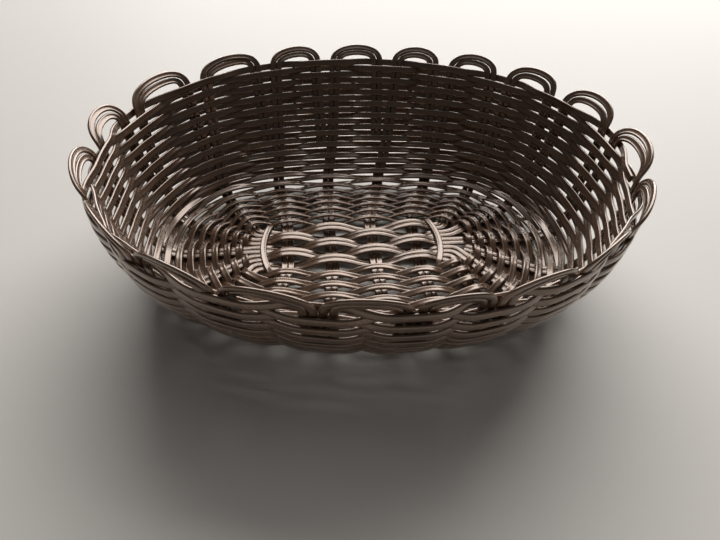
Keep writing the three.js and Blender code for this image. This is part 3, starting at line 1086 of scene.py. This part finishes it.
@dataclass
class StakeStrands(Strands):
    """The strands that run to the rim as stakes and loop over it."""

    loops: RimLoops = field(kw_only=True)
    wall_steps: int = 24

    WORDS = {Side.CLOCKWISE: "front", Side.COUNTER: "back"}

    def wall(self, key: str, side: int) -> list[Knot]:
        """Follows a strand from the base's edge up the wall, over the rim and down to its end.

        Args:
            key: the stake it belongs to.
            side: which strand of the stake.

        Returns:
            The strand's knots.
        """
        sizes = self.plan.sizes
        stake, following = self.plan.stake_and_next(key)
        turns = np.linspace(sizes.flat_turn, sizes.loop_turn, self.wall_steps)
        rising = [stake.at(turn).knot(stake.own_offset(turn, side)) for turn in turns]
        arch = self.loops.arch(stake, following, side)
        falling = [
            following.at(turn).knot(following.tuck_offset(turn, side)).flipped()
            for turn in reversed(turns[turns > sizes.tuck_end_turn])
        ]
        return [*rising, *arch, *falling]

    def kink(self, corner: np.ndarray, before: np.ndarray, after: np.ndarray, offset: float) -> Knot:
        """Finds the knot where a strand turns in the plane of the base.

        Args:
            corner: where the pair starts to splay.
            before: direction across the strand before it.
            after: direction across the strand past it.
            offset: sideways place of the strand in its pair.

        Returns:
            The knot.
        """
        across = unit(before + after)
        across = across / float(across @ after)
        place = np.array([*corner, self.plan.sizes.mid_height]) + across * offset
        return Knot(place, unit(across), UP)

    def through(
        self, first: str, last: str, across: np.ndarray, side: int, middle: list[Knot]
    ) -> list[Knot]:
        """Joins both halves of a strand across the woven centre.

        Args:
            first: key of the stake where it starts.
            last: key of the stake where it ends.
            across: direction across the strand in the centre.
            side: which strand of the pair, seen from first to last.
            middle: its knots in the woven centre.

        Returns:
            All knots of the strand.
        """
        offset = side * self.plan.sizes.pair_pitch / 2
        start, end = self.plan.stake_and_next(first)[0], self.plan.stake_and_next(last)[0]
        return [
            *[knot.flipped() for knot in reversed(self.wall(first, -side))],
            self.kink(start.exit, across, -start.across, offset),
            *middle,
            self.kink(end.exit, across, end.across, offset),
            *self.wall(last, side),
        ]


@dataclass
class LengthStrands(StakeStrands):
    """The five pairs that run the long way."""

    finish: StripFinish = StripFinish("long_strand_plastic")
    seed: int = 100
    crown_share: float = 0.75  # of the crown over a crossing, where a row leaves it

    CLIMB_SHARES = (0.0, 0.2, 0.4, 0.6, 0.8, 1.0)

    def strands(self) -> Iterator[Course]:
        """Yields the ten strands, row by row from the front to the back."""
        outer = self.plan.sizes.outer_row
        across = self.plan.direction(0, -1)
        for row in range(-outer, outer + 1):
            for side, word in self.WORDS.items():
                middle = self.row_middle(row, side)
                knots = self.through(f"left{row}", f"right{row}", across, side, middle)
                yield f"length_strand_{row + outer + 1}_{word}", row * 2 + side, knots

    def row_middle(self, row: int, side: int) -> list[Knot]:
        """Weaves a strand of a row over and under the cross pairs.

        Args:
            row: number of the row, 0 for the middle one.
            side: which strand of the row.

        Returns:
            Its knots in the woven centre.
        """
        sizes = self.plan.sizes
        across = self.plan.direction(0, -1)
        y = row * sizes.row_pitch - side * sizes.pair_pitch / 2

        def knot(x: float, level: float) -> Knot:
            """Returns the knot at x in the centre, raised by level."""
            return Knot(np.array([*self.plan.from_centre(x, y), sizes.mid_height + level]), across, UP)

        clear = sizes.binder_reach - sizes.strand_width / 2 - sizes.flat_margin
        flat = sizes.pair_half_width
        stops = [(-clear, -clear, 0.0)]
        for cross in range(sizes.cross_count):
            x = (cross - sizes.outer_cross) * sizes.cross_pitch
            over = (row + sizes.outer_row + cross) % 2 == 1
            stops.append((x - flat, x + flat, sizes.weave_lift if over else -sizes.weave_lift))
        stops.append((clear, clear, 0.0))
        knots = [knot(-clear, 0.0)]
        for (start, leave, level), (reach, _, following) in zip(stops, stops[1:]):
            if level > 0:
                knots.append(knot((start + leave) / 2, level + sizes.row_crown))
            for share in self.CLIMB_SHARES:
                raised = mix(level, following, ease(share)) + self.crown(level, following, share)
                knots.append(knot(mix(leave, reach, share), raised))
        return knots

    def crown(self, level: float, following: float, share: float) -> float:
        """Finds how much a row stands proud between two crossings.

        Args:
            level: its height over the stakes' middle at the crossing it leaves.
            following: the same at the one it reaches.
            share: share of the way passed.

        Returns:
            The height to add.
        """
        left = math.cos(share * math.pi / 2) ** 2 if level > 0 else 0.0
        right = math.sin(share * math.pi / 2) ** 2 if following > 0 else 0.0
        return self.plan.sizes.row_crown * self.crown_share * (left + right)


@dataclass
class CrossStrands(StakeStrands):
    """The four pairs that run the short way."""

    finish: StripFinish = StripFinish("cross_strand_plastic")
    seed: int = 200

    WORDS = {Side.CLOCKWISE: "right", Side.COUNTER: "left"}

    def strands(self) -> Iterator[Course]:
        """Yields the eight strands, pair by pair from the left to the right."""
        across = self.plan.direction(1, 0)
        for cross in range(self.plan.sizes.cross_count):
            for side, word in self.WORDS.items():
                knots = self.through(f"front{cross}", f"back{cross}", across, side, [])
                yield f"cross_strand_{cross + 1}_{word}", cross * 2 + side, knots


@dataclass
class AddedStrands(StakeStrands):
    """The pair that is pushed into the right fan and makes the number of stakes odd."""

    finish: StripFinish = StripFinish("added_strand_plastic")
    seed: int = 300

    def strands(self) -> Iterator[Course]:
        """Yields the two strands, each from the base outwards."""
        stake = self.plan.stake_and_next("added")[0]
        for side, word in self.WORDS.items():
            offset = side * self.plan.sizes.pair_pitch / 2
            start = self.kink(stake.exit, stake.across, stake.across, offset)
            yield f"added_strand_{word}", side, [start, *self.wall("added", side)]


@dataclass
class Binders(Strands):
    """The strands wrapped over the rows at the two ends of the woven centre."""

    softness: float = 0.9
    wander: HandWander | None = None
    bow: float = 5.5
    inset: float = 5.5
    leg_past_rows: float = 6.5
    top_past_rows: float = 0.6
    top_steps: int = 8
    finish: StripFinish = StripFinish("binder_plastic")
    seed: int = 400

    def strands(self) -> Iterator[Course]:
        """Yields both binders."""
        for end, word in ((-1, "left"), (1, "right")):
            yield f"binder_{word}", end, self.knots(end)

    def knots(self, end: int) -> list[Knot]:
        """Follows a binder up one side of the rows, over them in a bow and down the other side.

        Args:
            end: -1 for the left binder, 1 for the right one.

        Returns:
            Its knots.
        """
        sizes = self.plan.sizes
        leg = sizes.centre_half_width + self.leg_past_rows
        tip = sizes.outer_row * sizes.row_pitch
        lift = sizes.weave_lift
        top = sizes.centre_half_width + self.top_past_rows
        over = [(y, lift) for y in np.linspace(-top, top, self.top_steps)]
        knots = []
        for y, z in [(-tip, -lift), (-leg, -lift), *over, (leg, -lift), (tip, -lift)]:
            bow = self.bow * (1 - (y / leg) ** 2)
            place = self.plan.from_centre(end * (sizes.binder_reach + bow - self.inset), y)
            side = unit(self.plan.direction(1, 2 * self.bow * y / leg**2 * end))
            knots.append(Knot(np.array([*place, sizes.mid_height + z]), side, UP))
        return knots


@dataclass(frozen=True)
class Crossing:
    """Where a weaver crosses a stake, and how it lies there.

    Level is its height over the stake's middle, half the half width that it clears, crown how much it
    stands proud, and front how far the place is on the front wall, from 0 to 1.
    """

    place: np.ndarray
    along: np.ndarray
    inwards: np.ndarray
    level: float
    half: float
    crown: float
    front: float


@dataclass
class Weaver(Strands):
    """A long strand that spirals round the stakes, over one and under the next."""

    node: str = field(kw_only=True)
    first_turn: int = field(kw_only=True)
    turn_count: int = field(kw_only=True)
    softness: float = 1.5
    rim_margin: float = 1.5
    lean: float = math.radians(18)
    least_lean: float = math.radians(10)
    strip: StripSizes = StripSizes(half_width=1.82, profile_points=16, longest_step=3.9, bend_scale=0.055)
    base_crown: float = 1.3
    wall_crown: float = 0.3
    crown_turns: tuple[float, float] = (8.0, 16.0)  # between these the crown falls to the wall's
    front_turns: tuple[float, float] = (14.0, 20.0)  # and the lean turns over on the front wall
    knot_step: float = 2.5
    least_knots: int = 6
    wander: HandWander | None = HandWander(sideways=0.12, twist=math.radians(4))
    finish: StripFinish = StripFinish("weaver_plastic")

    def strands(self) -> Iterator[Course]:
        """Yields the weaver."""
        yield self.node, 0, self.knots()

    def crossing(self, turn: int, index: int) -> Crossing:
        """Finds where the weaver crosses a stake.

        Args:
            turn: number of the turn, counted outwards from 1.
            index: number of the stake.

        Returns:
            The crossing.
        """
        sizes, stake, count = self.plan.sizes, self.plan.stakes[index], len(self.plan.stakes)
        lead = index / count
        reached = 1 + lead + (turn - 1) * (sizes.rim_turn - 1 - lead) / (sizes.rim_turn - 1)
        over = ((turn - 1) * count + index) % 2 == 1
        tucked = reached > math.floor(sizes.tuck_end_turn)
        own = stake.own_offset(reached, Side.COUNTER)
        first = stake.tuck_offset(reached, Side.CLOCKWISE) if tucked else own
        last = stake.own_offset(reached, Side.CLOCKWISE)
        margin = self.rim_margin if reached > sizes.rim_turn - 1 else 0.0
        crown = mix(self.base_crown, self.wall_crown, ramp(reached, *self.crown_turns))
        station = stake.at(reached)
        return Crossing(
            place=station.place + station.across * (first + last) / 2,
            along=station.along,
            inwards=station.inwards,
            level=sizes.weave_lift if over else -sizes.weave_lift,
            half=(last - first) / 2 + sizes.strand_width / 2 + margin,
            crown=crown if over else 0.0,
            front=stake.front * ramp(reached, *self.front_turns),
        )

    def knots(self) -> list[Knot]:
        """Draws a smooth line through the crossings, and raises and lowers it between them.

        Returns:
            The weaver's knots.
        """
        turns = range(self.first_turn, self.first_turn + self.turn_count)
        indices = range(len(self.plan.stakes))
        crossings = [self.crossing(turn, index) for turn in turns for index in indices]
        places = np.array([crossing.place for crossing in crossings])
        lengths = StripPath.lengths_of(places)
        tangents = np.gradient(places, lengths, axis=0)
        knots = []
        for i, (before, after) in enumerate(zip(crossings, crossings[1:])):
            span = lengths[i + 1] - lengths[i]
            count = max(self.least_knots, int(span / self.knot_step))
            for step in range(count):
                t = step / count
                velocities = tangents[i] * span, tangents[i + 1] * span
                place = self.hermite(before.place, after.place, *velocities, t)
                knots.append(self.knot_between(before, after, place, span, t))
        return knots

    def knot_between(
        self, before: Crossing, after: Crossing, place: np.ndarray, span: float, t: float
    ) -> Knot:
        """Lays the weaver between two crossings.

        Args:
            before: the crossing it leaves.
            after: the crossing it reaches.
            place: where it would be without going over or under.
            span: distance between the crossings.
            t: share of that distance passed.

        Returns:
            The knot there.
        """
        climbed = ease(ramp(t, before.half / span, 1 - after.half / span))
        facing = unit(mix(before.inwards, after.inwards, ease(t)))
        upwards = unit(mix(before.along, after.along, ease(t)))
        level = mix(before.level, after.level, climbed)
        lean = self.least_lean + self.lean * (1 - abs(level / before.level))
        lean *= 1 - 2 * mix(before.front, after.front, t)
        level += self.proud(before.crown, t) + self.proud(after.crown, 1 - t)
        side = -(upwards * math.cos(lean) - facing * math.sin(lean))
        return Knot(place + facing * level, side, facing)

    @staticmethod
    def proud(crown: float, share: float) -> float:
        """Returns how much the weaver stands proud at a share of the way from a stake to the next."""
        return crown * math.cos(math.pi * share) ** 2 if share < 0.5 else 0.0

    @staticmethod
    def hermite(
        first: np.ndarray, last: np.ndarray, leaving: np.ndarray, reaching: np.ndarray, t: float
    ) -> np.ndarray:
        """Follows a cubic curve from one place to another.

        Args:
            first: where it starts.
            last: where it ends.
            leaving: its velocity at the start.
            reaching: its velocity at the end.
            t: share of the way passed.

        Returns:
            The place there.
        """
        return (
            (2 * t**3 - 3 * t**2 + 1) * first
            + (t**3 - 2 * t**2 + t) * leaving
            + (3 * t**2 - 2 * t**3) * last
            + (t**3 - t**2) * reaching
        )


@dataclass(frozen=True)
class FloorFinish:
    """The plain pale floor."""

    color: tuple[float, float, float] = (0.66, 0.62, 0.57)
    roughness: float = 0.6

    def material(self) -> bpy.types.Material:
        """Builds the finish.

        Returns:
            The material.
        """
        material = bpy.data.materials.new("pale_floor")
        material.use_nodes = True
        surface = material.node_tree.nodes["Principled BSDF"]
        surface.inputs["Base Color"].default_value = (*self.color, 1.0)
        surface.inputs["Roughness"].default_value = self.roughness
        return material


@dataclass(frozen=True)
class Lamp:
    """A soft rectangular lamp: places in metres, width and height, and power in watts."""

    name: str
    place: tuple[float, float, float]
    target: tuple[float, float, float]
    size: tuple[float, float]
    power: float

    def hang(self) -> None:
        """Hangs the lamp in its place and points it at its target."""
        light = bpy.data.lights.new(self.name, "AREA")
        light.shape = "RECTANGLE"
        light.size, light.size_y = self.size
        light.energy = self.power
        lamp = bpy.data.objects.new(self.name, light)
        lamp.location = self.place
        towards = Vector(self.target) - Vector(self.place)
        lamp.rotation_euler = towards.to_track_quat("-Z", "Y").to_euler()
        bpy.context.scene.collection.objects.link(lamp)


@dataclass
class Studio:
    """Floor, soft light, world and the camera at the photograph's angle."""

    camera_place: tuple[float, float, float] = (-0.00598, -0.23461, 0.20020)
    heading: float = math.radians(1.23)
    pitch: float = math.radians(41.89)
    roll: float = math.radians(1.38)
    focal_pixels: float = 580.0
    clip_start: float = 0.01
    floor_half: float = 3.0
    ambient: float = 0.07
    backdrop: tuple[float, float, float] = (0.86, 0.84, 0.81)
    lamps: tuple[Lamp, ...] = (
        Lamp("key", (0.35, 1.85, 1.35), (0.0, 0.0, 0.02), (3.0, 2.4), 106.0),
        Lamp("overhead", (0.0, 0.4, 2.4), (0.0, 0.0, 0.0), (2.0, 1.2), 3.0),
    )

    def build(self) -> None:
        """Builds the floor, the lamps, the world and the camera."""
        self.floor()
        for lamp in self.lamps:
            lamp.hang()
        self.world()
        self.camera()
        log.info("studio: floor, lamps, world and camera")

    def floor(self) -> None:
        """Lays the pale floor."""
        half = self.floor_half
        corners = [(-half, -half, 0), (half, -half, 0), (half, half, 0), (-half, half, 0)]
        mesh = bpy.data.meshes.new("floor")
        mesh.from_pydata(corners, [], [(0, 1, 2, 3)])
        mesh.materials.append(FloorFinish().material())
        floor = bpy.data.objects.new("floor", mesh)
        bpy.context.scene.collection.objects.link(floor)

    def world(self) -> None:
        """Sets a dim world that looks pale where the camera sees it, also through anything clear."""
        world = bpy.data.worlds.new("studio")
        world.use_nodes = True
        world.node_tree.nodes.clear()
        make = TreeMaker(world.node_tree)
        ray = make.add("ShaderNodeLightPath").outputs
        seen = make.math("MAXIMUM", ray["Is Camera Ray"], ray["Is Transmission Ray"])
        dim = {"Color": (1.0, 1.0, 1.0, 1.0), "Strength": self.ambient}
        light = make.add("ShaderNodeBackground", dim)
        shown = make.add("ShaderNodeBackground", {"Color": (*self.backdrop, 1.0)})
        both = make.add("ShaderNodeMixShader", {0: seen, 1: light.outputs[0], 2: shown.outputs[0]})
        make.add("ShaderNodeOutputWorld", {"Surface": both.outputs[0]})
        bpy.context.scene.world = world
        bpy.context.scene.view_settings.view_transform = "Standard"

    def camera(self) -> None:
        """Places the camera where the photograph was taken from."""
        level_ahead = np.array([math.sin(self.heading), math.cos(self.heading), 0.0])
        ahead = level_ahead * math.cos(self.pitch) - UP * math.sin(self.pitch)
        level_right = np.array([math.cos(self.heading), -math.sin(self.heading), 0.0])
        level_up = np.cross(level_right, ahead)
        right = level_right * math.cos(self.roll) + level_up * math.sin(self.roll)
        up = level_up * math.cos(self.roll) - level_right * math.sin(self.roll)
        turn = Matrix([[right[k], up[k], -ahead[k]] for k in range(3)]).to_4x4()
        data = bpy.data.cameras.new("photo_camera")
        data.sensor_width = SENSOR_WIDTH
        data.lens = self.focal_pixels / PHOTO_WIDTH * SENSOR_WIDTH
        data.clip_start = self.clip_start
        camera = bpy.data.objects.new("photo_camera", data)
        camera.matrix_world = Matrix.Translation(self.camera_place) @ turn
        bpy.context.scene.collection.objects.link(camera)
        bpy.context.scene.camera = camera


def main() -> None:
    """Builds the basket strand by strand, then the studio."""
    logging.basicConfig(level=logging.INFO, format="%(name)s: %(message)s")
    plan = BasketPlan()
    loops = RimLoops(plan)
    loom = StripLoom(plan)
    sizes = plan.sizes
    base, wall = sizes.base_turns, sizes.wall_turns
    kinds = (
        LengthStrands(plan, loops=loops),
        CrossStrands(plan, loops=loops),
        AddedStrands(plan, loops=loops),
        Binders(plan),
        Weaver(plan, seed=501, node="base_weaver", first_turn=1, turn_count=base),
        Weaver(plan, seed=502, node="wall_weaver", first_turn=base + 1, turn_count=wall),
    )
    for kind in kinds:
        kind.build(loom)
    Studio().build()


if __name__ == "__main__":
    main()
